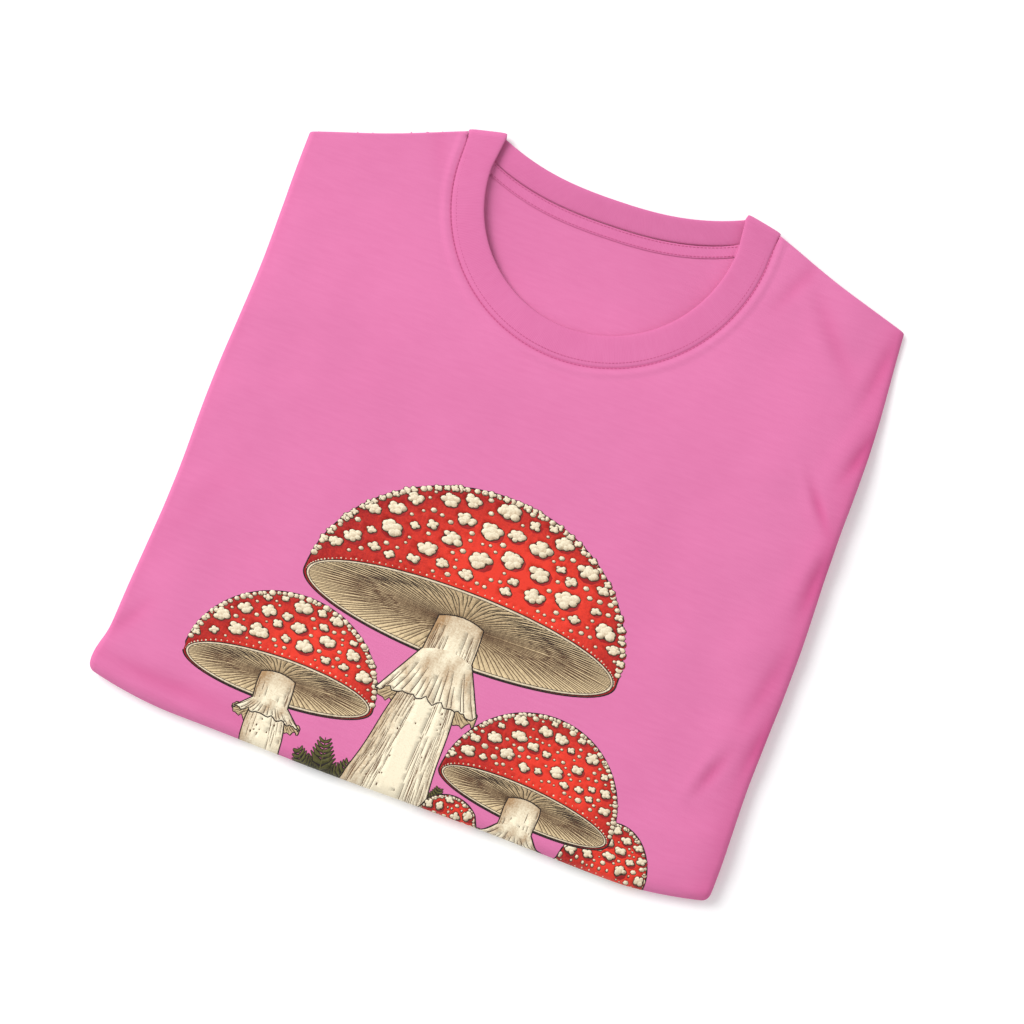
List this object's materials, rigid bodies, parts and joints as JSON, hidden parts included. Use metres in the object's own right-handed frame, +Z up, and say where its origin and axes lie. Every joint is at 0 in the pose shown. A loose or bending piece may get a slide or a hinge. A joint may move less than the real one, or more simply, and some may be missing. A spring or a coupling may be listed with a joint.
{
  "type": "folded t-shirt",
  "caption": "Short-sleeved crew-neck T-shirt of pink cotton jersey with a printed toadstool picture, folded flat with its sides, sleeves and hem behind.",
  "frame": {"origin": "under the middle of the folded shirt, on the surface that it lies on", "axes": "+Z up through the fold, +Y from the bottom fold to the neck, +X across the chest to the wearer's left"},
  "size_m": [0.452, 0.4569, 0.0187],
  "materials": {
    "jersey": "matt pink cotton jersey with a fine knit grain",
    "collar_rib": "matt pink rib knit",
    "neck_tape": "matt pink jersey tape",
    "print_ink": "matt ink printed into the cloth, in red, cream, tan, olive and dark brown",
    "sewing_thread": "soft satin polyester sewing thread"
  },
  "bodies": {
    "root": {"front_panel": "jersey", "back_panel": "jersey", "left_sleeve": "jersey", "right_sleeve": "jersey", "collar_rib": "collar_rib", "neck_tape": "neck_tape", "front_print": "print_ink", "collar_thread_on_rib": "sewing_thread", "collar_thread_on_body": "sewing_thread", "neck_tape_upper_thread": "sewing_thread", "neck_tape_lower_thread": "sewing_thread", "left_shoulder_thread": "sewing_thread", "right_shoulder_thread": "sewing_thread", "left_armhole_thread": "sewing_thread", "right_armhole_thread": "sewing_thread", "left_side_thread": "sewing_thread", "right_side_thread": "sewing_thread", "left_sleeve_hem_thread": "sewing_thread", "right_sleeve_hem_thread": "sewing_thread", "front_hem_thread": "sewing_thread", "back_hem_thread": "sewing_thread"}
  },
  "joints": []
}
